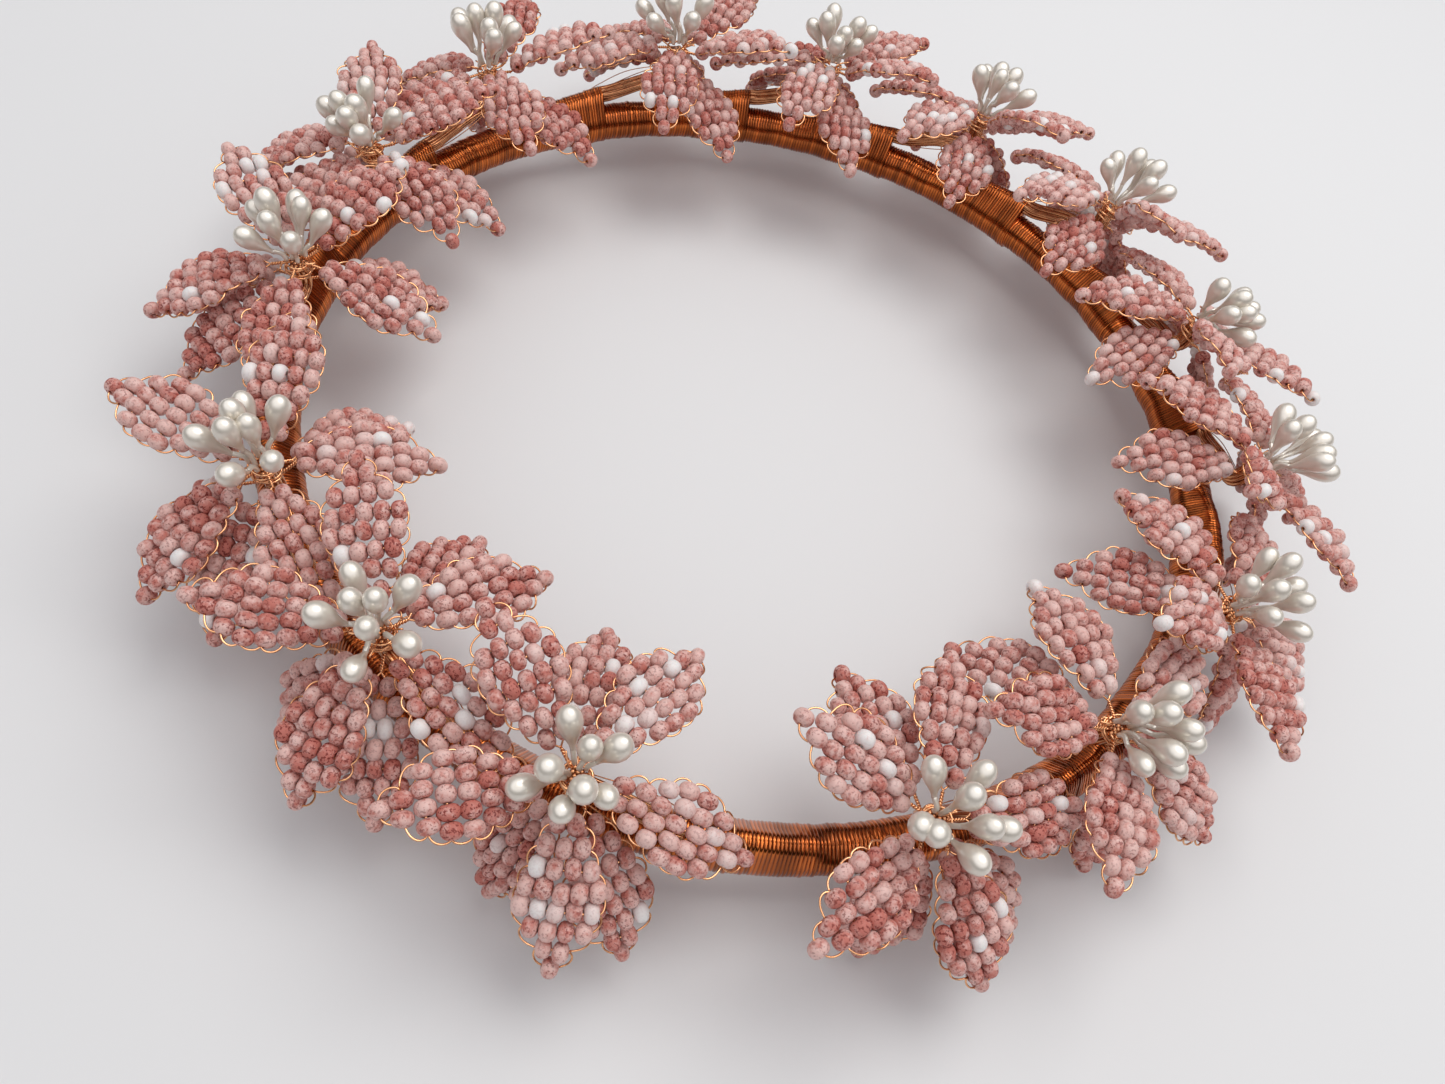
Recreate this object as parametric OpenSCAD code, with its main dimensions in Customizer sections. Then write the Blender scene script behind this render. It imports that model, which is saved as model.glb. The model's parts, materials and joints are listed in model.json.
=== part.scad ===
// Beaded flower crown: a copper-wound ring that carries bead-woven flowers on bendable wire stems.
// The ring lies in the XY plane with its centre at the origin, and the flowers stand up from it.

/* [Band] */
// Radius of the band's centreline
ring_r = 90; // [75:0.5:110]
// Radius of the wound band, over the winding
band_r = 4.3; // [3.6:0.1:5.2]
// Thickness of the copper winding
winding_t = 0.5; // [0.3:0.05:0.8]
// Radius of one core wire
core_wire_r = 1; // [0.7:0.05:1.2]
// Radius of one stem tail that is bound in under the winding
tail_r = 0.6; // [0.4:0.05:0.7]

/* [Flower placing] */
// Angle of the first flower round the ring
first_angle = 145; // [0:1:360]
// Angle from one flower to the next
flower_step = 22.5; // [22:0.1:23.5]
// Extra space after the third flower, in degrees
gap_after_third = 7; // [0:0.5:8]
// Extra space after the sixth flower, in degrees
gap_after_sixth = 10; // [0:0.5:12]
// Distance of a flower's centre outside the band's centreline
flower_out = 2.5; // [0:0.5:6]
// Height of a flower's centre above the band's centreline
flower_up = 18; // [17:0.5:24]
// Outward lean of a flower, in degrees
flower_lean = 18; // [5:1:25]

/* [Petals] */
// Length of a petal, from its base to its tip
petal_l = 23; // [19:0.5:24]
// Width of a petal at its widest
petal_w = 12.4; // [9:0.2:13]
// Thickness of the bead weave
petal_t = 3; // [2:0.1:3.2]
// Radius of a petal's arch
petal_arch_r = 26; // [22:1:60]
// Distance from the flower's axis to a petal's base
petal_base_r = 5.5; // [5:0.25:7]
// Drop of the lower petals below the upper ones
lower_drop = 4.5; // [4:0.25:6]
// Radius of the twisted wire leg that holds a petal
leg_r = 0.6; // [0.4:0.05:0.8]

/* [Stamens] */
// Radius of a pearl head
pearl_r = 2; // [1.5:0.1:2.2]
// Length of a pearl head's taper
pearl_taper = 4; // [3:0.25:5]
// Radius of a stamen's stalk
stalk_r = 0.45; // [0.3:0.05:0.6]
// Length of an inner stalk, up to the taper
inner_stalk_l = 7; // [6:0.25:9]
// Length of an outer stalk, up to the taper
outer_stalk_l = 5.5; // [5:0.25:8]

/* [Stems] */
// Radius of a stem's wire bundle
stem_r = 1.9; // [1.4:0.1:2.1]
// How far the knuckle at a stem's bend swells beyond the bundle
knuckle_swell = 0.15; // [0.1:0.05:0.25]
// Angle round the ring from a flower to the root of its stem
stem_slant = 9; // [7:0.5:10]
// Radius of the receptacle that the petals are wired to
receptacle_r = 2.6; // [2.2:0.1:3]
// Gap between a moving stem and the fixed pieces round it
stem_gap = 0.4; // [0.35:0.05:0.8]

/* [Lashings] */
// Thickness of the lashing over the winding
lashing_t = 0.7; // [0.4:0.05:0.9]
// Length of a lashing round the ring, in degrees
lashing_angle = 8; // [6:0.5:9]
// Radius of the loose wire at the closure
loose_wire_r = 0.4; // [0.25:0.05:0.5]
// Radius of the loose end's curl
curl_r = 3; // [2:0.25:4]
// Angle back from the root of the ninth flower's stem to the closure
closure_back = 4; // [3:0.5:5]

/* [Hidden] */
$fn = 64;
flower_count = 15;
upper_count = 5;
fit = 0.05; // clearance between pieces that are bound together
eps = 0.01;

// Each stem was bent by hand, so each flower leans, stands out and is turned a little differently.
lean_change = [0, -8, -14, -6, -6, 0, 4, 0, 5, 12, 6, 12, 8, 0, -6];
out_change = [0, -3, -5, 0, -1, 1, 1, -2, 0, 2, -1, 2, 2, 0, -1];
turn = [0, -3, 3, 4, 0, -3, -5, 4, 0, -3, 3, 0, -3, 3, 0];

// Upper petals, from the one that points to the next flower: it is tucked low, the two side petals
// hang, and the two that point to the previous flower are raised over its low petal.
upper_pitch = [-17, -23, 14, 14, -23];
// Lower petals: [angle from the next flower's direction, pitch]
lower_petals = [[108, -32], [252, -50], [311, -30]];

// The stamens stand in two rings: [count, fan angle, ring radius at the base, stalk length]
stamen_rings = [[3, 14, 1, inner_stalk_l], [5, 38, 1.7, outer_stalk_l]];

// The root of a stem lies on the upper outer side of the band.
root_side = 13; // degrees outward from straight up
knuckle_r = stem_r + knuckle_swell;
root_dist = band_r + knuckle_r + stem_gap;
foot_dist = band_r + stem_r + fit;
cavity_r = band_r - winding_t;
receptacle_top = 0.8;
stem_join = lower_drop + 2; // the stem enters the receptacle below the legs of the lower petals
receptacle_l = receptacle_top + stem_join + 2 * stem_r; // the stem enters through its side alone
stamen_seat_t = 1;
petal_centre_z = -sqrt(pow(petal_arch_r, 2) - pow(petal_l / 2, 2));
outline_r = (pow(petal_l / 2, 2) + pow(petal_w / 2, 2)) / petal_w;
tail_angle = 20;
curl_angle = 250;
root_shows = 1; // degrees of a root that show at each end of its lashing
closure_turns = 3;
closure_flower = 8; // the ninth, counted from 0
core_ring_r = core_wire_r * 1.25; // the three core wires lie round the centreline

function flower_angle(i) =
    first_angle + flower_step * i + (i > 2 ? gap_after_third : 0) + (i > 5 ? gap_after_sixth : 0);
function flower_radius(i) = ring_r + flower_out + out_change[i];
function lean(i) = flower_lean + lean_change[i];
function root_angle(i) = flower_angle(i) + stem_slant;
function on_ring(angle, radius, z) = [radius * cos(angle), radius * sin(angle), z];
function root_point(i) =
    on_ring(root_angle(i), ring_r + root_dist * sin(root_side), root_dist * cos(root_side));
// A point on a flower's axis, h above its centre
function axis_point(i, h) =
    on_ring(flower_angle(i), flower_radius(i) + h * sin(lean(i)), flower_up + h * cos(lean(i)));

function two_digits(n) = str(n < 10 ? "0" : "", n);
function flower_name(i, piece) = str("flower_", two_digits(i + 1), "_", piece);
FLOWER_PIECES = ["petals", "stamens", "stem"];

// A round rod from one point to another, which can start from a ball
module rod(from, to, r, ball_r = 0) {
    d = to - from;
    translate(from)
        rotate([0, acos(d[2] / norm(d)), atan2(d[1], d[0])]) {
            cylinder(h = norm(d), r = r);
            if (ball_r > 0) sphere(r = ball_r);
        }
}

// A round section carried round the ring from one angle to another
module ring_rod(start, sweep, radius, z, r) {
    rotate([0, 0, start])
        rotate_extrude(angle = sweep)
            translate([radius, z]) circle(r = r);
}

module at_flower(i) {
    translate(axis_point(i, 0))
        rotate([0, lean(i), flower_angle(i)])
            children();
}

// Three stiff wires that run side by side right round the band
module hoop_wires() {
    color("dimgray")
        for (k = [0 : 2])
            ring_rod(0, 360, ring_r + core_ring_r * cos(120 * k), core_ring_r * sin(120 * k), core_wire_r);
}

// The tail of each stem, laid on the core wires away from its flower
module stem_tails() {
    dist = cavity_r - tail_r - fit;
    color("saddlebrown")
        for (i = [0 : flower_count - 1])
            ring_rod(root_angle(i), tail_angle,
                ring_r + dist * sin(root_side), dist * cos(root_side), tail_r);
}

// The close winding of fine copper wire: a tube over the core and the tails
module band_winding() {
    color("sienna")
        rotate_extrude()
            translate([ring_r, 0]) difference() {
                circle(r = band_r);
                circle(r = cavity_r);
            }
}

// The bound root of each stem lies along the band, behind the point where the stem bends up
module stem_feet() {
    start = asin((knuckle_r + stem_gap) / ring_r);
    color("saddlebrown")
        for (i = [0 : flower_count - 1])
            ring_rod(root_angle(i) + start, lashing_angle,
                ring_r + foot_dist * sin(root_side), foot_dist * cos(root_side), stem_r);
}

// More winding over each root, which ties it down to the band
module stem_lashings() {
    start = root_shows + asin((knuckle_r + stem_gap) / ring_r);
    side = foot_dist * sin(root_side);
    top = foot_dist * cos(root_side);
    color("chocolate")
        for (i = [0 : flower_count - 1])
            rotate([0, 0, root_angle(i) + start])
                rotate_extrude(angle = lashing_angle - 2 * root_shows)
                    translate([ring_r, 0]) difference() {
                        union() {
                            circle(r = band_r + lashing_t);
                            translate([side, top]) circle(r = stem_r + lashing_t);
                        }
                        circle(r = band_r + fit);
                        translate([side, top]) circle(r = stem_r + fit);
                    }
}

// Loose turns round the band where its ends are tied, and one end of the wire left in an open curl
module closure_lashing() {
    turn_r = band_r + loose_wire_r + fit;
    pitch = 3 * loose_wire_r;
    color("peru")
        rotate([0, 0, root_angle(closure_flower) - closure_back])
            translate([ring_r, 0, 0]) {
                for (k = [0 : closure_turns - 1])
                    translate([0, pitch * (k - (closure_turns - 1) / 2), 0])
                        rotate([90, 0, 0])
                            rotate_extrude() translate([turn_r, 0]) circle(r = loose_wire_r);
                translate([-(turn_r + 2 * loose_wire_r + curl_r + fit), 0, 0])
                    ring_rod(0, curl_angle, curl_r, 0, loose_wire_r);
            }
}

module petal_outline() {
    intersection_for (side = [-1, 1])
        translate([petal_l / 2, side * (outline_r - petal_w / 2)]) circle(r = outline_r);
}

// One petal: a leaf cut from a thin dome, with its base at the origin and its tip along +X
module petal_plate() {
    intersection() {
        translate([0, 0, -petal_t * 2]) linear_extrude(petal_t * 5) petal_outline();
        translate([petal_l / 2, 0, petal_centre_z])
            rotate([90, 0, 0]) difference() {
                sphere(r = petal_arch_r + petal_t / 2);
                sphere(r = petal_arch_r - petal_t / 2);
            }
    }
}

// A petal on its wire leg, in the flower's own frame
module petal(angle, pitch, drop) {
    rotate([0, 0, angle])
        translate([0, 0, -drop]) {
            translate([petal_base_r, 0, 0]) rotate([0, -pitch, 0]) petal_plate();
            rod([receptacle_r + fit, 0, 0], [petal_base_r + 3 * leg_r, 0, 0], leg_r);
        }
}

module flower_petals(i) {
    next = 90 + turn[i];
    color("rosybrown")
        at_flower(i) {
            for (k = [0 : upper_count - 1]) petal(next + k * 360 / upper_count, upper_pitch[k], 0);
            for (p = lower_petals) petal(next + p[0], p[1], lower_drop);
        }
}

// A stalk with its pearl head, standing up from the origin
module stamen(stalk_l) {
    cylinder(h = stalk_l + eps, r = stalk_r);
    translate([0, 0, stalk_l]) cylinder(h = pearl_taper, r1 = stalk_r, r2 = pearl_r * 0.9);
    translate([0, 0, stalk_l + pearl_taper + pearl_r * 0.4]) sphere(r = pearl_r);
}

module flower_stamens(i) {
    color("ivory")
        at_flower(i)
            translate([0, 0, receptacle_top + fit]) {
                cylinder(h = stamen_seat_t, r = receptacle_r);
                for (ring = stamen_rings)
                    for (k = [0 : ring[0] - 1])
                        rotate([0, 0, turn[i] + (k + 0.5) * 360 / ring[0]])
                            translate([ring[2], 0, stamen_seat_t / 2])
                                rotate([0, ring[1], 0]) stamen(ring[3]);
            }
}

// The stem: the knuckle where it bends up off the band, the bundle, and the receptacle under the petals
module flower_stem(i) {
    foot = root_point(i);
    head = axis_point(i, -stem_join);
    color("saddlebrown") {
        rod(foot, head, stem_r, knuckle_r);
        rod(axis_point(i, receptacle_top - receptacle_l), axis_point(i, receptacle_top), receptacle_r);
    }
}

hoop_wires();
stem_tails();
band_winding();
stem_lashings();
stem_feet();
closure_lashing();
for (i = [0 : flower_count - 1]) {
    flower_petals(i);
    flower_stamens(i);
    flower_stem(i);
}
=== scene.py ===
import json
import math

import bpy
import numpy as np
from mathutils import Matrix, Vector


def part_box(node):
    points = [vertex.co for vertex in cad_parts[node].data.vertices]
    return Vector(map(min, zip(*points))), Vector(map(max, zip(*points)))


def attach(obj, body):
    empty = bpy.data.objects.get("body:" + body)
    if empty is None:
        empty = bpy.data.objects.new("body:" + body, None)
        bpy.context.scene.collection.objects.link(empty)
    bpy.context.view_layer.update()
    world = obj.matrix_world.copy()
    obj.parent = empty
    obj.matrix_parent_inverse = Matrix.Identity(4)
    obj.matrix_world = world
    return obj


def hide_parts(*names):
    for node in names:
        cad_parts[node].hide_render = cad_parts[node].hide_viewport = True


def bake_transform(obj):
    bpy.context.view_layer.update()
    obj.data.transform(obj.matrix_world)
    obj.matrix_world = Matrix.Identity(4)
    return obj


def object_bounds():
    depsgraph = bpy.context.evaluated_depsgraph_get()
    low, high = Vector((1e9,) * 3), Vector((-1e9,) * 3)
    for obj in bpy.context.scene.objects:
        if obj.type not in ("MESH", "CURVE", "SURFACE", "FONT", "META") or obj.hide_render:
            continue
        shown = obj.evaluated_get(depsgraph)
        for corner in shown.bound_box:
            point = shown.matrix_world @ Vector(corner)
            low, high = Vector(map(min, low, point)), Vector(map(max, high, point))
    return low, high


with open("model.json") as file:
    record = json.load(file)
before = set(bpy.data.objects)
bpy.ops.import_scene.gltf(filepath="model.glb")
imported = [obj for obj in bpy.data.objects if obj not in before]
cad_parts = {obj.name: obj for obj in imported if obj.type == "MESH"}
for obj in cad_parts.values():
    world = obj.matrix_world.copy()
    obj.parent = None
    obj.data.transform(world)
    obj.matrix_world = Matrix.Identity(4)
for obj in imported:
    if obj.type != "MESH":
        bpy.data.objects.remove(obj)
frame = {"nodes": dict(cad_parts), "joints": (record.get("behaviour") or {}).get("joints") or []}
cad_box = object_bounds()
MM = 0.001


# ---------------------------------------------------------------- hoop and stem tails
# Three stiff drawn wires keep the ring round, and the tail of every stem lies along them.
# The winding hides them: they are plain steel and brown enamelled copper.

def new_material(name):
    material = bpy.data.materials.new(name)
    material.use_nodes = True
    tree = material.node_tree
    return material, tree, tree.nodes["Principled BSDF"]


def add(tree, kind, **settings):
    """A node with its settings; a socket is set by giving its name and value in inputs."""
    node = tree.nodes.new(kind)
    for socket, value in settings.pop("inputs", {}).items():
        node.inputs[socket].default_value = value
    for name, value in settings.items():
        setattr(node, name, value)
    return node


def new_group(name, inputs, outputs):
    group = bpy.data.node_groups.new(name, "ShaderNodeTree")
    for label, kind, value in inputs:
        socket = group.interface.new_socket(label, in_out="INPUT", socket_type=kind)
        socket.default_value = value
    for label, kind in outputs:
        group.interface.new_socket(label, in_out="OUTPUT", socket_type=kind)
    return group, group.nodes.new("NodeGroupInput"), group.nodes.new("NodeGroupOutput")


def use_group(tree, group, inputs):
    node = tree.nodes.new("ShaderNodeGroup")
    node.node_tree = group
    for label, value in inputs.items():
        node.inputs[label].default_value = value
    return node


def build_drawn_wire_group():
    """Cloudy tarnish between two tones, with fine grain, on anything made of drawn wire."""
    group, given, out = new_group(
        "drawn wire",
        [("Bright", "NodeSocketColor", (0.8, 0.4, 0.2, 1)), ("Dark", "NodeSocketColor", (0.3, 0.1, 0.05, 1)),
         ("Patch size", "NodeSocketFloat", 3.0), ("Tarnish", "NodeSocketFloat", 0.5),
         ("Roughness low", "NodeSocketFloat", 0.2), ("Roughness high", "NodeSocketFloat", 0.45)],
        [("Color", "NodeSocketColor"), ("Roughness", "NodeSocketFloat"), ("Height", "NodeSocketFloat")])
    place = add(group, "ShaderNodeTexCoord")
    scale = add(group, "ShaderNodeMath", operation="DIVIDE", inputs={0: 1000.0})
    group.links.new(given.outputs["Patch size"], scale.inputs[1])
    patches = add(group, "ShaderNodeTexNoise", inputs={"Detail": 4.0, "Roughness": 0.6})
    group.links.new(place.outputs["Object"], patches.inputs["Vector"])
    group.links.new(scale.outputs[0], patches.inputs["Scale"])
    grain = add(group, "ShaderNodeTexNoise", inputs={"Scale": 6000.0, "Detail": 2.0})
    group.links.new(place.outputs["Object"], grain.inputs["Vector"])
    spread = add(group, "ShaderNodeMapRange", inputs={"From Min": 0.35, "From Max": 0.7})
    group.links.new(patches.outputs["Fac"], spread.inputs["Value"])
    amount = add(group, "ShaderNodeMath", operation="MULTIPLY")
    group.links.new(spread.outputs["Result"], amount.inputs[0])
    group.links.new(given.outputs["Tarnish"], amount.inputs[1])
    blend = add(group, "ShaderNodeMix", data_type="RGBA")
    group.links.new(amount.outputs[0], blend.inputs["Factor"])
    group.links.new(given.outputs["Bright"], blend.inputs[6])
    group.links.new(given.outputs["Dark"], blend.inputs[7])
    rough = add(group, "ShaderNodeMapRange")
    group.links.new(patches.outputs["Fac"], rough.inputs["Value"])
    group.links.new(given.outputs["Roughness low"], rough.inputs["To Min"])
    group.links.new(given.outputs["Roughness high"], rough.inputs["To Max"])
    group.links.new(blend.outputs[2], out.inputs["Color"])
    group.links.new(rough.outputs["Result"], out.inputs["Roughness"])
    group.links.new(grain.outputs["Fac"], out.inputs["Height"])
    return group


drawn_wire = build_drawn_wire_group()


def wire_material(name, bright, dark, patch, tarnish, rough, coat):
    material, tree, shader = new_material(name)
    look = use_group(tree, drawn_wire, {"Bright": bright, "Dark": dark, "Patch size": patch,
                                        "Tarnish": tarnish, "Roughness low": rough[0],
                                        "Roughness high": rough[1]})
    shader.inputs["Metallic"].default_value = 1.0
    shader.inputs["Coat Weight"].default_value = coat
    shader.inputs["Coat Roughness"].default_value = 0.15
    bump = add(tree, "ShaderNodeBump", inputs={"Strength": 0.15, "Distance": 0.00002})
    tree.links.new(look.outputs["Color"], shader.inputs["Base Color"])
    tree.links.new(look.outputs["Roughness"], shader.inputs["Roughness"])
    tree.links.new(look.outputs["Height"], bump.inputs["Height"])
    tree.links.new(bump.outputs["Normal"], shader.inputs["Normal"])
    return material


hoop_steel = wire_material("hoop steel", bright=(0.50, 0.48, 0.45, 1), dark=(0.24, 0.22, 0.20, 1),
                           patch=4.0, tarnish=0.7, rough=(0.3, 0.5), coat=0.0)
tail_copper = wire_material("tail copper", bright=(0.42, 0.20, 0.09, 1), dark=(0.16, 0.07, 0.04, 1),
                            patch=3.0, tarnish=0.8, rough=(0.25, 0.45), coat=0.4)


def give_material(node, material):
    mesh = frame["nodes"][node].data
    mesh.materials.clear()
    mesh.materials.append(material)


give_material("hoop_wires", hoop_steel)
give_material("stem_tails", tail_copper)


# ---------------------------------------------------------------- band winding
# Fine enamelled copper wire, wound turn against turn over the hoop for its whole length.
# It swells over each stem root and steps down sharply where the stem leaves it.

low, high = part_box("band_winding")
band_radius = (high.z - low.z) / 2
ring_radius = (high.x - low.x) / 2 - band_radius
turn_pitch = 0.64 * MM
rings_per_turn = 6
sides_round_band = 32
lashed_degrees = 15.5
wire_in_winding = turn_pitch / 2
wire_flattening = 0.8
turn_unevenness = 0.045 * MM
lashing_build_up = 0.35 * MM  # the last turns over a root lie on earlier ones
core_lumps, root_lumps = 0.07 * MM, 0.16 * MM

joints = sorted(frame["joints"], key=lambda j: j["name"])
flowers = [j["child"] for j in joints]
roots = [Vector(j["pos_m"]) for j in joints]
root_angles = [math.atan2(r.y, r.x) for r in roots]
root_side = math.atan2(math.hypot(roots[0].x, roots[0].y) - ring_radius, roots[0].z)
root_distance = math.hypot(math.hypot(roots[0].x, roots[0].y) - ring_radius, roots[0].z)
stem_radius = 1.9 * MM
band_rng = np.random.default_rng(11)


def on_band(angle, distance, side):
    """Points at a distance from the band's centreline; side 0 is straight up, a quarter turn is outward."""
    radius = ring_radius + distance * np.sin(side)
    return np.stack([radius * np.cos(angle), radius * np.sin(angle), distance * np.cos(side) + 0 * angle], -1)


def wound_round_two(core, foot, offset, side):
    """Distance to wire pulled tight round the band's core and a stem's foot beside it."""
    best = core + 0 * side
    turned = side - root_side
    for share in np.linspace(0, 1, 33):
        away = offset * share
        size = core + (foot - core) * share
        inside = size ** 2 - (away * np.sin(turned)) ** 2
        reach = away * np.cos(turned) + np.sqrt(np.maximum(inside, 0))
        best = np.where(inside > 0, np.maximum(best, reach), best)
    return best


def mesh_object(name, points, faces, material, smooth=True):
    mesh = bpy.data.meshes.new(name)
    mesh.from_pydata(np.asarray(points).tolist(), [], [list(map(int, f)) for f in faces])
    mesh.materials.append(material)
    mesh.polygons.foreach_set("use_smooth", [smooth] * len(mesh.polygons))
    mesh.validate()
    piece = bpy.data.objects.new(name, mesh)
    bpy.context.scene.collection.objects.link(piece)
    return piece


def set_attribute(piece, name, values):
    layer = piece.data.attributes.new(name, "FLOAT", "POINT")
    layer.data.foreach_set("value", np.asarray(values, np.float32))


def grid_faces(rows, columns, caps=True):
    """Faces of a tube: rows rings of columns points each, with a cap at each end."""
    a = np.arange(rows - 1)[:, None] * columns
    b = np.arange(columns)[None, :]
    c = (b + 1) % columns
    quads = np.stack([a + b, a + c, a + columns + c, a + columns + b], -1).reshape(-1, 4).tolist()
    if caps:
        quads.append(list(range(columns))[::-1])
        quads.append(list(range((rows - 1) * columns, rows * columns)))
    return quads


winding_copper, tree, shader = new_material("winding copper")
look = use_group(tree, drawn_wire, {"Bright": (0.72, 0.19, 0.036, 1), "Dark": (0.31, 0.056, 0.012, 1),
                                    "Patch size": 14.0, "Tarnish": 0.6,
                                    "Roughness low": 0.12, "Roughness high": 0.24})
tone = add(tree, "ShaderNodeAttribute", attribute_name="turn_tone")
shade = add(tree, "ShaderNodeHueSaturation")
value = add(tree, "ShaderNodeMapRange", inputs={"To Min": 0.5, "To Max": 1.2})
tree.links.new(tone.outputs["Fac"], value.inputs["Value"])
tree.links.new(value.outputs["Result"], shade.inputs["Value"])
tree.links.new(look.outputs["Color"], shade.inputs["Color"])
# Painted shade: the colour is darkened towards the seam between neighbouring turns, where the wires meet, so
# each turn shows as a dark line.
groove_shade_mask = add(tree, "ShaderNodeAttribute", attribute_name="groove_shade_mask")
painted_groove_shade = add(tree, "ShaderNodeMix", data_type="RGBA", blend_type="MULTIPLY",
              inputs={7: (0.10, 0.03, 0.02, 1)})
tree.links.new(groove_shade_mask.outputs["Fac"], painted_groove_shade.inputs["Factor"])
tree.links.new(shade.outputs["Color"], painted_groove_shade.inputs[6])
tree.links.new(painted_groove_shade.outputs[2], shader.inputs["Base Color"])
tree.links.new(look.outputs["Roughness"], shader.inputs["Roughness"])
shader.inputs["Metallic"].default_value = 1.0
shader.inputs["Coat Weight"].default_value = 0.25
shader.inputs["Coat Roughness"].default_value = 0.1

edge_shift = math.radians(1.6)  # a lashing ends just short of where its stem bends up
tucked_under = math.radians(0.6)  # each length runs on a little under the next lashing
for i, root_angle in enumerate(root_angles):
    start = root_angle + edge_shift
    to_each_root = sorted((a - root_angle) % math.tau for a in root_angles)
    sweep = to_each_root[1] + tucked_under
    count = int(sweep * ring_radius / turn_pitch) * rings_per_turn + 1
    along = np.linspace(0, sweep, count)[:, None]
    side = np.linspace(0, math.tau, sides_round_band, endpoint=False)[None, :]
    turn = along * ring_radius / turn_pitch + side / math.tau
    within = (turn % 1.0) * 2 - 1
    ridge = wire_in_winding * (np.sqrt(np.maximum(1 - within ** 2, 0)) - 0.75) * wire_flattening
    whole = np.floor(turn).astype(int)
    jitter = band_rng.normal(0, turn_unevenness, whole.max() + 2)[whole]
    tone_of_turn = band_rng.uniform(0, 1, whole.max() + 2)[whole]
    left = np.clip(1 - np.degrees(along) / lashed_degrees, 0, 1)
    foot_out = (root_distance - lashing_build_up) * (0.25 + 0.75 * left ** 0.7)
    swollen = wound_round_two(band_radius + lashing_build_up * (left - 1), stem_radius, foot_out, side)
    lump = (core_lumps * np.sin(along * 61 + i * 2) * np.sin(side * 2 + i)
            + root_lumps * left * np.sin(along * 38 + i) * np.sin(side - root_side + 1.2))
    radius = swollen + ridge + jitter + lump
    points = on_band(start + along, radius, side).reshape(-1, 3)
    winding = mesh_object(f"winding_{i + 1:02d}", points, grid_faces(count, sides_round_band), winding_copper)
    set_attribute(winding, "turn_tone", tone_of_turn.ravel())
    # How near each point lies to the seam between two turns, where the material paints shade.
    set_attribute(winding, "groove_shade_mask", (np.abs(within) ** 4).ravel())
    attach(winding, "band")
    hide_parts("band_winding", "stem_lashings")


# ---------------------------------------------------------------- stems
# The wires of every petal and stamen of a flower run down together as one glossy brown bundle.
# It comes out from under the winding and bends up, and can be bent by hand there.
# A few fine ends spring loose along it.

wires_in_stem = 13
stem_wire_radius = 0.44 * MM
stem_twist = 1.3
wire_step_round = 2.39996  # each wire lies a golden angle from the last, which fills the bundle evenly
buried_part = [(7, 2.2 * MM), (4.5, 1.2 * MM), (2.2, 0.35 * MM)]  # degrees behind the root, depth
join_below_top = 6.8 * MM
loose_wires = 3
loose_wire_radius = 0.1 * MM
stem_material = wire_material("stem wire", bright=(0.66, 0.30, 0.13, 1), dark=(0.30, 0.11, 0.05, 1),
                              patch=2.0, tarnish=0.8, rough=(0.16, 0.32), coat=0.4)
stem_rng = np.random.default_rng(23)


def unit(v):
    v = np.asarray(v, float)
    return v / np.linalg.norm(v)


def smooth_path(points, count):
    """A curve through the points, by Catmull-Rom, sampled evenly in its parameter."""
    p = np.asarray(points, float)
    p = np.vstack([2 * p[0] - p[1], p, 2 * p[-1] - p[-2]])
    spans = len(p) - 3
    t = np.linspace(0, spans - 1e-9, count)
    k = t.astype(int)
    u = (t - k)[:, None]
    a, b, c, d = p[k], p[k + 1], p[k + 2], p[k + 3]
    squared = (2 * a - 5 * b + 4 * c - d) * u ** 2
    cubed = (3 * b - a - 3 * c + d) * u ** 3
    return 0.5 * (2 * b + (c - a) * u + squared + cubed)


def path_frames(path):
    """Two directions across the path at each point, turned as little as possible along it."""
    along = np.gradient(path, axis=0)
    along /= np.linalg.norm(along, axis=1)[:, None]
    across = np.cross(along[0], (0, 0, 1))
    if np.linalg.norm(across) < 1e-3:
        across = np.cross(along[0], (1, 0, 0))
    across = unit(across)
    one = []
    for direction in along:
        across = unit(across - direction * (across @ direction))
        one.append(across)
    one = np.array(one)
    return one, np.cross(along, one)


def tube(path, radius, sides=8):
    """Points and faces of a round wire along a path; radius is one size or one for each point."""
    one, two = path_frames(path)
    turn = np.linspace(0, math.tau, sides, endpoint=False)
    size = (np.zeros(len(path)) + radius)[:, None, None]
    ring = one[:, None] * np.cos(turn)[None, :, None] + two[:, None] * np.sin(turn)[None, :, None]
    return (path[:, None] + ring * size).reshape(-1, 3), grid_faces(len(path), sides)


def join(parts):
    """One list of points and one of faces from many."""
    points, faces, base = [], [], 0
    for p, f in parts:
        points.append(p)
        faces += [[v + base for v in face] for face in f]
        base += len(p)
    return np.vstack(points), faces


def flat_top(node):
    """Centre and direction of the largest flat face of a node that looks up, which is round."""
    mesh = frame["nodes"][node].data
    found = {}
    for face in mesh.polygons:
        if face.normal.z < 0.3:
            continue
        key = tuple(round(x, 2) for x in face.normal)
        key += (round(face.normal @ face.center / MM, 1),)
        found.setdefault(key, []).append(face)
    largest = max(found.values(), key=lambda faces: sum(f.area for f in faces))
    area = sum(f.area for f in largest)
    centre = sum((f.center * f.area for f in largest), Vector()) / area
    return np.array(centre), unit(largest[0].normal)


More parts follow.
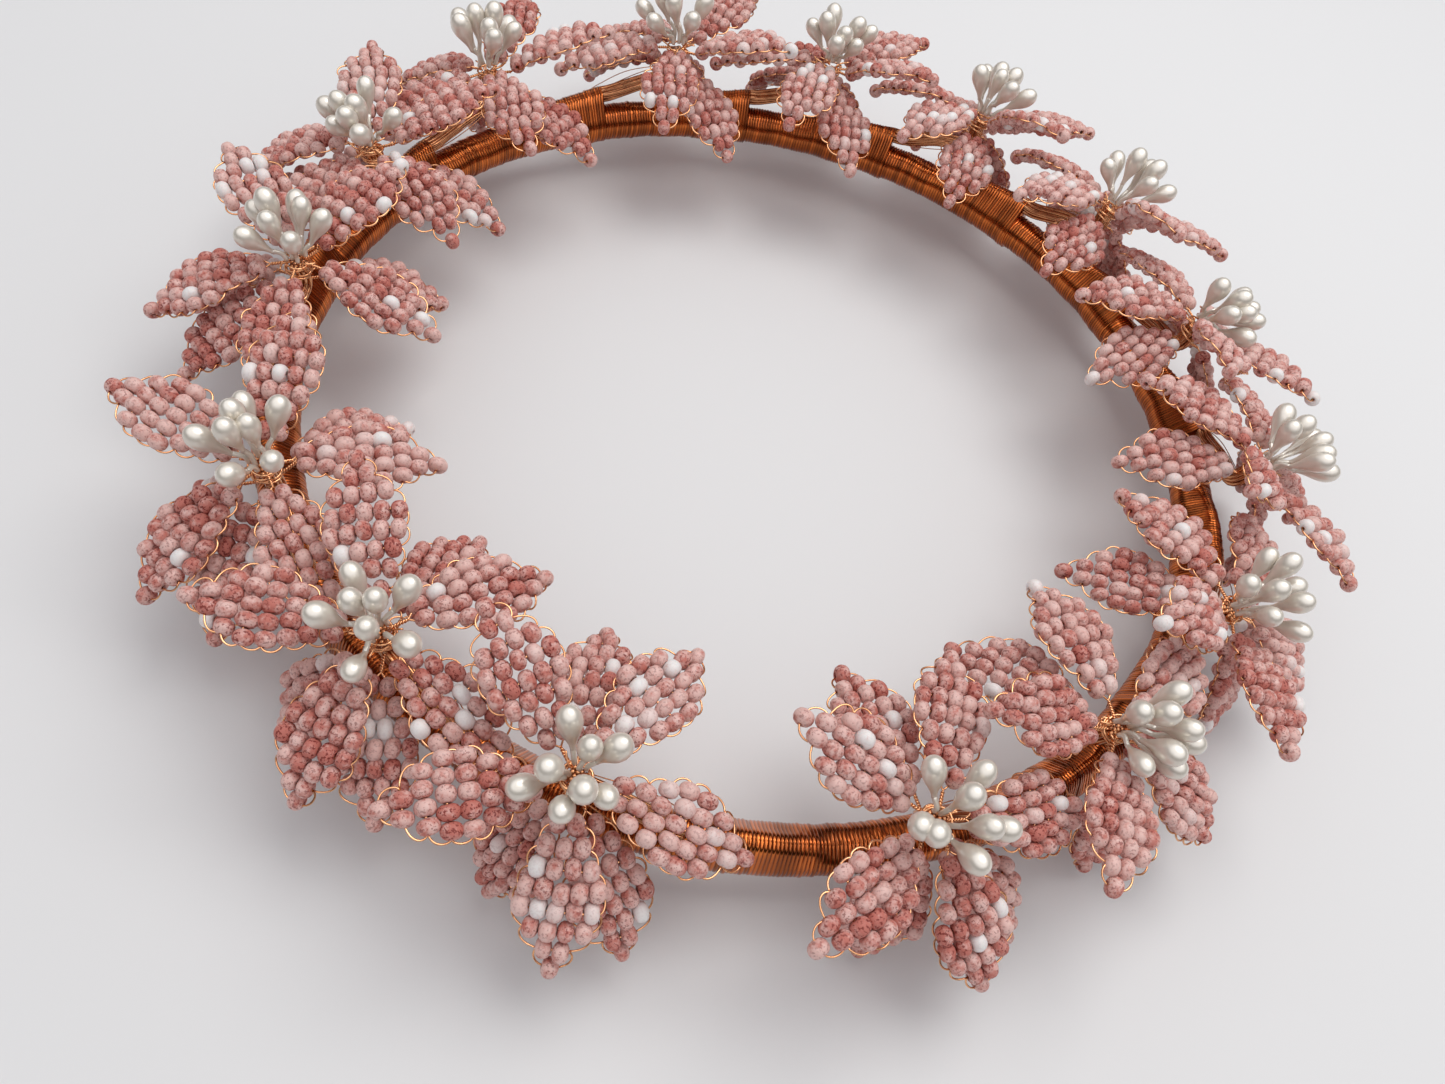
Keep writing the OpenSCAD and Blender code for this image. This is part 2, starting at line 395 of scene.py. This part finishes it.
heads = {}  # for each flower, the top of its stem and the way it faces
for i, flower in enumerate(flowers):
    top, up = flat_top(f"{flower}_stem")
    heads[flower] = (top, up)
    angle, root = root_angles[i], np.array(roots[i])
    buried = [on_band(angle + math.radians(back), root_distance - depth, root_side)
              for back, depth in buried_part]
    knee = root + np.array([0, 0, 0.1 * MM])
    end = top - up * join_below_top
    middle = (knee + end) / 2 + np.array([0, 0, 0.3 * MM])
    path = smooth_path([*buried, knee, middle, end, top - up * 1.2 * MM], 34)
    one, two = path_frames(path)
    parts = []
    twist = np.linspace(0, stem_twist, len(path))
    for k in range(wires_in_stem):
        out = (stem_radius - stem_wire_radius) * math.sqrt((k + 0.3) / wires_in_stem)
        turn = k * wire_step_round + twist
        wander = stem_rng.normal(0, 0.04 * MM, 2)
        offset = (one * (np.cos(turn) * out + wander[0])[:, None]
                  + two * (np.sin(turn) * out + wander[1])[:, None])
        parts.append(tube(path + offset, stem_wire_radius))
    for k in range(loose_wires):
        away = unit(stem_rng.normal(0, 1, 3) * (1, 1, 0.5) + (0, 0, 0.6)) * (stem_radius + 0.9 * MM)
        bow = np.array([0.6, 1.0, 1.3, 0.7])[:, None] * away * stem_rng.uniform(0.8, 1.2)
        parts.append(tube(smooth_path(path[[9, 15, 21, 28]] + bow, 20), loose_wire_radius, 5))
    points, faces = join(parts)
    stem = mesh_object(f"{flower}_stem_wires", points, faces, stem_material)
    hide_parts(f"{flower}_stem", "stem_feet")
    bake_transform(stem)


# ---------------------------------------------------------------- petals
# Each petal is eight rows of frosted seed beads, 1, 2, 4, 5, 5, 4, 3 and 2 from the tip, on copper wire.
# The wire runs through each row and loops out at its end into the next. Its two ends twist into a leg.

beads_in_row = [1, 2, 4, 5, 5, 4, 3, 2]
row_pitch = 2.9 * MM
bead_pitch = 2.45 * MM
tip_inset = 1.6 * MM
bead_outer = 1.6 * MM
bead_hole = 0.42 * MM
bead_half_length = 1.24 * MM
row_sag = 0.35 * MM  # the ends of a full row lie back from its middle
row_slip, bead_slip, bead_lift = 0.25 * MM, 0.14 * MM, 0.16 * MM
bead_tilt, bead_size_spread = 0.10, 0.035
usual_stain, petal_stain_spread, bead_stain_spread = 0.58, 0.07, 0.16
white_beads, white_stain = 0.045, 0.08  # share of beads that took almost no stain, and what they took
lowest_bead = 0.4 * MM
weaving_wire = 0.16 * MM
petal_length = 23.0 * MM
petal_base = 5.5 * MM
petal_arch = 26.0 * MM
petal_rng = np.random.default_rng(37)


def build_mottle_group():
    """Soft blotches of stain and small dark specks, laid differently on each bead."""
    group, given, out = new_group(
        "bead stain",
        [("White", "NodeSocketColor", (0.8, 0.8, 0.8, 1)),
         ("Pale", "NodeSocketColor", (0.8, 0.7, 0.68, 1)), ("Rose", "NodeSocketColor", (0.6, 0.3, 0.27, 1)),
         ("Brick", "NodeSocketColor", (0.35, 0.08, 0.07, 1)), ("Amount", "NodeSocketFloat", 0.5),
         ("Bead", "NodeSocketFloat", 0.5)],
        [("Color", "NodeSocketColor"), ("Stain", "NodeSocketFloat"), ("Height", "NodeSocketFloat")])
    place = add(group, "ShaderNodeTexCoord")
    shift = add(group, "ShaderNodeMath", operation="MULTIPLY", inputs={1: 0.35})
    group.links.new(given.outputs["Bead"], shift.inputs[0])
    moved = add(group, "ShaderNodeVectorMath", operation="ADD")
    group.links.new(place.outputs["Object"], moved.inputs[0])
    group.links.new(shift.outputs[0], moved.inputs[1])
    cloud = add(group, "ShaderNodeTexNoise", inputs={"Scale": 560.0, "Detail": 4.0, "Roughness": 0.66})
    speck = add(group, "ShaderNodeTexNoise", inputs={"Scale": 2300.0, "Detail": 2.0, "Roughness": 0.6})
    frost = add(group, "ShaderNodeTexNoise", inputs={"Scale": 5200.0, "Detail": 2.0})
    for texture in (cloud, speck, frost):
        group.links.new(moved.outputs[0], texture.inputs["Vector"])
    edge = add(group, "ShaderNodeMath", operation="MULTIPLY_ADD", inputs={1: -0.4, 2: 0.62})
    group.links.new(given.outputs["Amount"], edge.inputs[0])
    far = add(group, "ShaderNodeMath", operation="ADD", inputs={1: 0.3})
    group.links.new(edge.outputs[0], far.inputs[0])
    rosy = add(group, "ShaderNodeMapRange", interpolation_type="SMOOTHSTEP")
    group.links.new(cloud.outputs["Fac"], rosy.inputs["Value"])
    group.links.new(edge.outputs[0], rosy.inputs["From Min"])
    group.links.new(far.outputs[0], rosy.inputs["From Max"])
    clean = add(group, "ShaderNodeMapRange", inputs={"From Min": 0.3, "From Max": 0.1})
    group.links.new(given.outputs["Amount"], clean.inputs["Value"])
    ground = add(group, "ShaderNodeMix", data_type="RGBA")
    group.links.new(clean.outputs["Result"], ground.inputs["Factor"])
    group.links.new(given.outputs["Pale"], ground.inputs[6])
    group.links.new(given.outputs["White"], ground.inputs[7])
    first = add(group, "ShaderNodeMix", data_type="RGBA")
    group.links.new(rosy.outputs["Result"], first.inputs["Factor"])
    group.links.new(ground.outputs[2], first.inputs[6])
    group.links.new(given.outputs["Rose"], first.inputs[7])
    dark = add(group, "ShaderNodeMapRange", interpolation_type="SMOOTHSTEP",
               inputs={"From Min": 0.54, "From Max": 0.61})
    group.links.new(speck.outputs["Fac"], dark.inputs["Value"])
    share = add(group, "ShaderNodeMath", operation="MULTIPLY")
    group.links.new(dark.outputs["Result"], share.inputs[0])
    group.links.new(given.outputs["Amount"], share.inputs[1])
    second = add(group, "ShaderNodeMix", data_type="RGBA")
    group.links.new(share.outputs[0], second.inputs["Factor"])
    group.links.new(first.outputs[2], second.inputs[6])
    group.links.new(given.outputs["Brick"], second.inputs[7])
    group.links.new(second.outputs[2], out.inputs["Color"])
    group.links.new(rosy.outputs["Result"], out.inputs["Stain"])
    group.links.new(frost.outputs["Fac"], out.inputs["Height"])
    return group


frosted_bead, tree, shader = new_material("frosted bead")
stain = use_group(tree, build_mottle_group(), {
    "White": (0.84, 0.80, 0.79, 1), "Pale": (0.76, 0.50, 0.455, 1),
    "Rose": (0.52, 0.165, 0.13, 1), "Brick": (0.20, 0.022, 0.016, 1)})
amount = add(tree, "ShaderNodeAttribute", attribute_name="bead_stain")
which = add(tree, "ShaderNodeAttribute", attribute_name="bead_seed")
tree.links.new(amount.outputs["Fac"], stain.inputs["Amount"])
tree.links.new(which.outputs["Fac"], stain.inputs["Bead"])
tree.links.new(stain.outputs["Color"], shader.inputs["Base Color"])
matte = add(tree, "ShaderNodeMapRange", inputs={"To Min": 0.46, "To Max": 0.66})
tree.links.new(stain.outputs["Stain"], matte.inputs["Value"])
tree.links.new(matte.outputs["Result"], shader.inputs["Roughness"])
bump = add(tree, "ShaderNodeBump", inputs={"Strength": 0.25, "Distance": 0.00004})
tree.links.new(stain.outputs["Height"], bump.inputs["Height"])
tree.links.new(bump.outputs["Normal"], shader.inputs["Normal"])
shader.inputs["Specular IOR Level"].default_value = 0.45
shader.inputs["Subsurface Weight"].default_value = 0.12
shader.inputs["Subsurface Scale"].default_value = 0.6 * MM
shader.inputs["Subsurface Radius"].default_value = (1.0, 0.5, 0.4)

weaving_copper = wire_material("weaving copper", bright=(0.90, 0.47, 0.24, 1), dark=(0.55, 0.24, 0.10, 1),
                               patch=2.5, tarnish=0.6, rough=(0.16, 0.34), coat=0.2)


def bead_shape():
    """One seed bead lying along X: a plump barrel with round shoulders and a true hole."""
    round_count, shoulder_count, roundness = 16, 9, 2.35
    lip = 1 - (bead_hole / bead_outer) ** roundness
    t = np.linspace(-1, 1, shoulder_count)
    along = np.sin(t * math.pi / 2) * lip ** (1 / roundness)
    out = bead_outer * (1 - np.abs(along) ** roundness) ** (1 / roundness)
    along = np.append(along, [0.55, -0.55]) * bead_half_length
    out = np.append(out, [bead_hole * 0.9, bead_hole * 0.9])
    profile_count = len(out)
    a = np.linspace(0, math.tau, round_count, endpoint=False)[:, None]
    points = np.stack([0 * a + along, out * np.cos(a), out * np.sin(a)], -1).reshape(-1, 3)
    i = np.arange(round_count)[:, None]
    j = np.arange(profile_count)[None, :]
    k, m = (i + 1) % round_count, (j + 1) % profile_count
    corner = [i * profile_count + j, i * profile_count + m, k * profile_count + m, k * profile_count + j]
    return points, np.stack(corner, -1).reshape(-1, 4)


bead_points, bead_faces = bead_shape()


def solids_of(node):
    """The vertices of each separate solid of a node, found by the corners that its faces share."""
    mesh = frame["nodes"][node].data
    co = np.array([v.co for v in mesh.vertices])
    _, same = np.unique(np.round(co / MM, 3), axis=0, return_inverse=True)
    same = same.ravel()
    mesh.calc_loop_triangles()
    tri = same[np.array([t.vertices for t in mesh.loop_triangles])]
    label = np.arange(same.max() + 1)
    while True:
        least = label[tri].min(1)
        fresh = label.copy()
        for c in range(3):
            np.minimum.at(fresh, tri[:, c], least)
        if (fresh == label).all():
            break
        label = fresh
    return [co[label[same] == n] for n in np.unique(label[tri])]


class Petal:
    """A petal's own directions, read from its solid: where each bead sits on its domed sheet."""

    def __init__(self, points, top, up):
        reach = points - top
        height = reach @ up
        away = np.linalg.norm(reach - np.outer(height, up), axis=1)
        leg_end = height[away < 3.0 * MM]
        level = (leg_end.min() + leg_end.max()) / 2
        tip = points[away.argmax()]
        for _ in range(3):
            self.out = unit((tip - top) - up * ((tip - top) @ up))
            base = top + self.out * petal_base + up * level
            span = np.linalg.norm(points - base, axis=1)
            tip = points[span > span.max() - 0.06 * MM].mean(0)
        self.top, self.up = top, up
        self.across = np.cross(up, self.out)
        self.forward = unit(tip - base)
        self.normal = np.cross(self.forward, self.across)
        self.centre = base + self.forward * petal_length / 2 - self.normal * math.sqrt(
            petal_arch ** 2 - (petal_length / 2) ** 2)

    def at(self, u, v, lift=0.0):
        """The point u along from the base and v across, on the middle of the sheet or above it."""
        x = u - petal_length / 2
        rise = math.sqrt(petal_arch ** 2 - x ** 2 - v ** 2)
        p = self.centre + self.normal * rise + self.forward * x + self.across * v
        return p + unit(p - self.centre) * lift


def row_place(row):
    return petal_length - tip_inset - row * row_pitch


def bead_rows(petal):
    """Points and faces of every bead, with how stained each is and a number of its own."""
    points, faces, stained, seeds, base = [], [], [], [], 0
    petal_stain = petal_rng.normal(usual_stain, petal_stain_spread)
    for row, count in enumerate(beads_in_row):
        slip = petal_rng.normal(0, row_slip)
        for k in range(count):
            v = (k - (count - 1) / 2) * bead_pitch + slip
            sag = row_sag * (v / (2.5 * bead_pitch)) ** 2
            u = max(row_place(row) - sag + petal_rng.normal(0, bead_slip), lowest_bead)
            place = petal.at(u, v, petal_rng.normal(0, bead_lift))
            normal = unit(place - petal.centre)
            axis = unit(petal.across - normal * (petal.across @ normal))
            axis = unit(axis + petal_rng.normal(0, bead_tilt, 3))
            other = unit(np.cross(normal, axis))
            size = petal_rng.normal(1.0, bead_size_spread, 3).clip(0.92, 1.06)
            turned = petal_rng.uniform(0, math.tau)
            c, s = math.cos(turned), math.sin(turned)
            flat = np.stack([bead_points[:, 0] * size[0],
                             (bead_points[:, 1] * c - bead_points[:, 2] * s) * size[1],
                             (bead_points[:, 1] * s + bead_points[:, 2] * c) * size[2]], -1)
            points.append(place + flat @ np.stack([axis, other, np.cross(axis, other)]))
            faces.append(bead_faces + base)
            pale = petal_rng.random() < white_beads
            if pale:
                shade = white_stain
            else:
                shade = float(np.clip(petal_rng.normal(petal_stain, bead_stain_spread), 0.12, 0.98))
            stained += [shade] * len(bead_points)
            seeds += [petal_rng.random()] * len(bead_points)
            base += len(bead_points)
    return np.vstack(points), np.vstack(faces), stained, seeds


def edge_loops(petal):
    """The wire at both edges: out of one row's last bead, round in a scallop and into the next row."""
    parts = []
    for row in range(len(beads_in_row) - 1):
        for hand in (-1, 1):
            ends = [beads_in_row[row + n] / 2 * bead_pitch for n in (0, 1)]
            u = [row_place(row + n) for n in (0, 1)]
            bulge = petal_rng.uniform(0.1, 0.7) * MM
            lift = petal_rng.normal(0, 0.35 * MM, 2)
            t = np.linspace(0, 1, 11)
            outer = [ends[0] - 0.5 * MM, max(ends) + bulge, max(ends) + bulge, ends[1] - 0.5 * MM]
            inner = [u[0], u[0] - 0.1 * row_pitch, u[1] + 0.1 * row_pitch, u[1]]
            weights = [(1 - t) ** 3, 3 * t * (1 - t) ** 2, 3 * t ** 2 * (1 - t), t ** 3]
            vs = sum(w * x for w, x in zip(weights, outer)) * hand
            us = sum(w * x for w, x in zip(weights, inner))
            ls = weights[1] * lift[0] + weights[2] * lift[1]
            path = np.array([petal.at(a, b, c) for a, b, c in zip(us, vs, ls)])
            parts.append(tube(path, weaving_wire, 6))
    return parts


def row_wires(petal):
    """The wire inside each row of beads, which shows between them."""
    parts = []
    for row, count in enumerate(beads_in_row):
        edge = (count / 2 - 0.2) * bead_pitch
        vs = np.linspace(-edge, edge, 2 * count + 1)
        path = np.array([petal.at(max(row_place(row), lowest_bead), v) for v in vs])
        parts.append(tube(path, weaving_wire * 1.5, 6))
    return parts


def wire_leg(petal):
    """The two wire ends, brought together from the last row and twisted down to the flower's centre."""
    parts = []
    last = row_place(len(beads_in_row) - 1)
    edge = beads_in_row[-1] / 2 * bead_pitch
    base = petal.at(-0.9 * MM, 0.0)
    level = (base - petal.top) @ petal.up
    hub = petal.top + petal.out * 1.6 * MM + petal.up * level
    for hand in (-1, 1):
        gather = smooth_path([petal.at(last, hand * (edge - 0.6 * MM)),
                              petal.at(last - 0.5 * MM, hand * edge * 0.9),
                              petal.at(0.0, hand * 0.9 * MM), base], 12)
        t = np.linspace(0, 1, 26)[1:, None]
        line = base + (hub - base) * t
        wind = t[:, 0] * 3.2 * math.tau + (0 if hand > 0 else math.pi)
        round_leg = (petal.across[None] * np.cos(wind)[:, None] + petal.up[None] * np.sin(wind)[:, None])
        twisted = line + round_leg * weaving_wire * 1.1
        parts.append(tube(np.vstack([gather, twisted]), weaving_wire, 6))
    return parts


for flower in flowers:
    top, up = heads[flower]
    node = f"{flower}_petals"
    for n, solid in enumerate(solids_of(node)):
        petal = Petal(solid, top, up)
        points, faces, stained, seeds = bead_rows(petal)
        beads = mesh_object(f"{flower}_petal_{n + 1}_beads", points, faces, frosted_bead)
        set_attribute(beads, "bead_stain", stained)
        set_attribute(beads, "bead_seed", seeds)
        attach(beads, flower)
        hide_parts(node)
        points, faces = join(edge_loops(petal) + row_wires(petal) + wire_leg(petal))
        wires = mesh_object(f"{flower}_petal_{n + 1}_wire", points, faces, weaving_copper)
        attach(wires, flower)


# ---------------------------------------------------------------- stamens
# A bought bunch of thread stamens: stiff cream stalks, each dipped to a teardrop pearl head.
# They are bound at the bottom and fan out of the flower's centre, no two quite alike.

# Two rings: how many, how far they fan out in degrees, radius at the base, length of stalk
stamen_rings = [(3, 13.0, 1.0 * MM, 4.6 * MM), (5, 36.0, 1.7 * MM, 3.6 * MM)]
pearl_radius = 1.95 * MM
pearl_length = 8.2 * MM
stalk_radius = 0.42 * MM
stamen_rng = np.random.default_rng(53)

pearl, tree, shader = new_material("pearl")
place = add(tree, "ShaderNodeTexCoord")
sheen = add(tree, "ShaderNodeTexNoise", inputs={"Scale": 420.0, "Detail": 3.0})
tree.links.new(place.outputs["Object"], sheen.inputs["Vector"])
cream = add(tree, "ShaderNodeMix", data_type="RGBA",
            inputs={6: (0.80, 0.75, 0.68, 1), 7: (0.68, 0.62, 0.53, 1)})
tree.links.new(sheen.outputs["Fac"], cream.inputs["Factor"])
tree.links.new(cream.outputs[2], shader.inputs["Base Color"])
gloss = add(tree, "ShaderNodeMapRange", inputs={"To Min": 0.24, "To Max": 0.38})
tree.links.new(sheen.outputs["Fac"], gloss.inputs["Value"])
tree.links.new(gloss.outputs["Result"], shader.inputs["Roughness"])
shader.inputs["Metallic"].default_value = 0.35
shader.inputs["Coat Weight"].default_value = 0.7
shader.inputs["Coat Roughness"].default_value = 0.1


def pearl_head(base, direction, size):
    """A teardrop whose long neck grows out of the stalk and whose far end is a round pearl."""
    widest = 0.70
    round_end = widest + (1 - widest) * np.sin(np.linspace(0.17, 1, 8) * math.pi / 2)
    t = np.concatenate([np.linspace(0, widest, 12), round_end])
    swelling = np.sin(np.minimum(t / widest, 1) * math.pi / 2) ** 2.1
    neck = stalk_radius + (pearl_radius - stalk_radius) * swelling
    rounded = pearl_radius * np.sqrt(np.maximum(1 - (np.maximum(t - widest, 0) / (1 - widest)) ** 2, 0))
    radius = np.where(t < widest, neck, rounded) * size
    radius[-1] = 0.02 * MM
    return tube(base + np.outer(t * pearl_length * size, direction), radius, 16)


def ways_across(up):
    """Two directions at right angles to a flower's axis and to each other."""
    side_way = unit(np.cross(up, (0, 0, 1)) if abs(up[2]) < 0.999 else (1, 0, 0))
    return side_way, np.cross(up, side_way)


for flower in flowers:
    top, up = heads[flower]
    side_way, other_way = ways_across(up)
    drift = stamen_rng.normal(0, 0.17, 2)
    parts = []
    for count, fan, base_radius, stalk in stamen_rings:
        first = stamen_rng.uniform(0, math.tau)
        for k in range(count):
            turn = first + (k + stamen_rng.normal(0, 0.09)) * math.tau / count
            outward = side_way * math.cos(turn) + other_way * math.sin(turn)
            lean = math.radians(fan + stamen_rng.normal(0, 6.0))
            direction = unit(up * math.cos(lean) + outward * math.sin(lean)
                             + side_way * drift[0] + other_way * drift[1])
            base = top + outward * base_radius + up * 0.3 * MM
            length = stalk * stamen_rng.uniform(0.7, 1.15)
            bend = outward * stamen_rng.normal(0, 0.35 * MM)
            knuckle = base + up * length * 0.4 + direction * length * 0.15 + bend
            tip = base + direction * length
            parts.append(tube(smooth_path([base, knuckle, tip], 9), stalk_radius))
            parts.append(pearl_head(tip - direction * 0.3 * MM, direction, stamen_rng.uniform(0.9, 1.06)))
    points, faces = join(parts)
    stamens = mesh_object(f"{flower}_pearls", points, faces, pearl)
    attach(stamens, flower)
    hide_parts(f"{flower}_stamens")


# ---------------------------------------------------------------- flower centres
# Short twists of weaving wire, left between the petals, bind them to the top of the stem.
# A few turns of the same wire go round under them.

coil_turns = 4
coil_radius = 2.15 * MM
coil_wire, twist_wire = 0.2 * MM, 0.17 * MM
twists = 7
centre_rng = np.random.default_rng(71)

for flower in flowers:
    top, up = heads[flower]
    side_way, other_way = ways_across(up)
    turn = np.linspace(0, coil_turns * math.tau, 80)
    fall = np.linspace(-0.6 * MM, -3.4 * MM, 80) + 0.35 * MM * np.sin(turn * 0.7)
    wobble = coil_radius + 0.2 * MM * np.sin(turn * 2.3)
    coil = (top + side_way * (np.cos(turn) * wobble)[:, None] + other_way * (np.sin(turn) * wobble)[:, None]
            + up * fall[:, None])
    parts = [tube(coil, coil_wire, 6)]
    for _ in range(twists):
        a = centre_rng.uniform(0, math.tau)
        way = side_way * math.cos(a) + other_way * math.sin(a)
        start = top + way * 1.2 * MM - up * centre_rng.uniform(0.2, 2.0) * MM
        end = top + way * centre_rng.uniform(3.2, 4.6) * MM + up * centre_rng.uniform(-0.6, 0.6) * MM
        middle = (start + end) / 2 + centre_rng.normal(0, 0.5 * MM, 3)
        parts.append(tube(smooth_path([start, middle, end], 10), twist_wire, 6))
    points, faces = join(parts)
    centre = mesh_object(f"{flower}_centre_twists", points, faces, weaving_copper)
    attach(centre, flower)


# ---------------------------------------------------------------- closure lashing
# Loose turns of the winding wire where the two ends of the band are tied together.
# One end was never trimmed and stands off the inside of the band in a curl.

low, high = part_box("closure_lashing")
closure_angle = math.atan2((low.y + high.y) / 2, (low.x + high.x) / 2)
loose_wire = 0.2 * MM
loose_turns = 9
turn_spacing, turn_slant = 0.0042, 0.010  # radians round the band
tail_clear = 0.6 * MM
curl_radius, curl_out = 2.6 * MM, 1.8 * MM
curl_start, curl_sweep = 3.0, 4.6
closure_rng = np.random.default_rng(89)
parts = []
for k in range(loose_turns):
    turn = np.linspace(0, math.tau * 1.1, 60)
    loose = band_radius + 0.3 * MM + abs(closure_rng.normal(0, 0.2 * MM))
    wave = loose + 0.18 * MM * np.sin(turn * closure_rng.integers(2, 5) + closure_rng.uniform(0, 6))
    skew = (k - loose_turns // 2) * turn_spacing + turn_slant * np.sin(turn + closure_rng.uniform(0, 6))
    parts.append(tube(on_band(closure_angle + skew, wave, turn), loose_wire, 6))
turn = np.linspace(0, 1, 50)
curl = curl_radius * (1 - 0.45 * turn)
inner = band_radius + tail_clear + curl_out + curl * np.cos(turn * curl_sweep + curl_start)
rise = curl * np.sin(turn * curl_sweep + curl_start) + turn * 1.2 * MM
radius = ring_radius - inner
angle = closure_angle + 0.02 * turn
tail = np.stack([radius * np.cos(angle), radius * np.sin(angle), rise], -1)
parts.append(tube(tail, loose_wire, 6))
points, faces = join(parts)
closure = mesh_object("closure_loops", points, faces, winding_copper)
set_attribute(closure, "turn_tone", [0.7] * len(points))
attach(closure, "band")
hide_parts("closure_lashing")


# ---------------------------------------------------------------- table, light and camera
# The crown rests on its lowest petal tips on a plain pale table, under soft light from the far right.

def soft_light(name, energy, size, place, colour):
    data = bpy.data.lights.new(name, "AREA")
    data.shape = "DISK"
    data.energy, data.size, data.color = energy, size, colour
    lamp = bpy.data.objects.new(name, data)
    bpy.context.scene.collection.objects.link(lamp)
    lamp.location = place
    lamp.rotation_mode = "QUATERNION"
    lamp.rotation_quaternion = (-Vector(place)).to_track_quat("-Z", "Y")


table_height = cad_box[0].z - 0.2 * MM
table_half = 1.5
corners = [(x * table_half, y * table_half) for x, y in ((-1, -1), (1, -1), (1, 1), (-1, 1))]
table_paint, tree, shader = new_material("pale table")
shader.inputs["Base Color"].default_value = (0.76, 0.76, 0.77, 1)
shader.inputs["Roughness"].default_value = 0.6
table = mesh_object("table", [(x, y, table_height) for x, y in corners], [(0, 1, 2, 3)], table_paint, False)

soft_light("window", energy=3.15, size=0.65, place=(0.16, 0.19, 0.75), colour=(1.0, 0.985, 0.955))

world = bpy.data.worlds.new("room")
world.use_nodes = True
tree = world.node_tree
ray = add(tree, "ShaderNodeTexCoord")
height = add(tree, "ShaderNodeSeparateXYZ")
tree.links.new(ray.outputs["Generated"], height.inputs["Vector"])
walls = add(tree, "ShaderNodeMapRange", interpolation_type="SMOOTHSTEP",
            inputs={"From Min": 0.3, "From Max": 0.8})
tree.links.new(height.outputs["Z"], walls.inputs["Value"])
mirrored = add(tree, "ShaderNodeMix", data_type="RGBA",
               inputs={6: (0.04, 0.035, 0.035, 1), 7: (1.7, 1.72, 1.8, 1)})
tree.links.new(walls.outputs["Result"], mirrored.inputs["Factor"])
path_of_light = add(tree, "ShaderNodeLightPath")
seen = add(tree, "ShaderNodeMix", data_type="RGBA", inputs={6: (0.61, 0.61, 0.622, 1)})
tree.links.new(path_of_light.outputs["Is Glossy Ray"], seen.inputs["Factor"])
tree.links.new(mirrored.outputs[2], seen.inputs[7])
tree.links.new(seen.outputs[2], tree.nodes["Background"].inputs["Color"])
tree.nodes["Background"].inputs["Strength"].default_value = 1.0
bpy.context.scene.world = world
bpy.context.scene.view_settings.view_transform = "Standard"

camera_elevation = math.radians(53.9)
camera_roll = math.radians(17.1)
camera_distance = 2.634 * ring_radius
aside, above = 0.079 * ring_radius, 0.293 * ring_radius
back = Vector((0, -math.cos(camera_elevation), math.sin(camera_elevation)))
right = Vector((1, 0, 0))
upward = back.cross(right)
right, upward = (right * math.cos(camera_roll) + upward * math.sin(camera_roll),
                 upward * math.cos(camera_roll) - right * math.sin(camera_roll))
camera_data = bpy.data.cameras.new("camera")
camera_data.lens = 29.9
camera = bpy.data.objects.new("camera", camera_data)
bpy.context.scene.collection.objects.link(camera)
place = back * camera_distance - right * aside - upward * above
camera.matrix_world = Matrix.Translation(place) @ Matrix((right, upward, back)).transposed().to_4x4()
camera_data.clip_start, camera_data.clip_end = 0.005, 10
bpy.context.scene.camera = camera
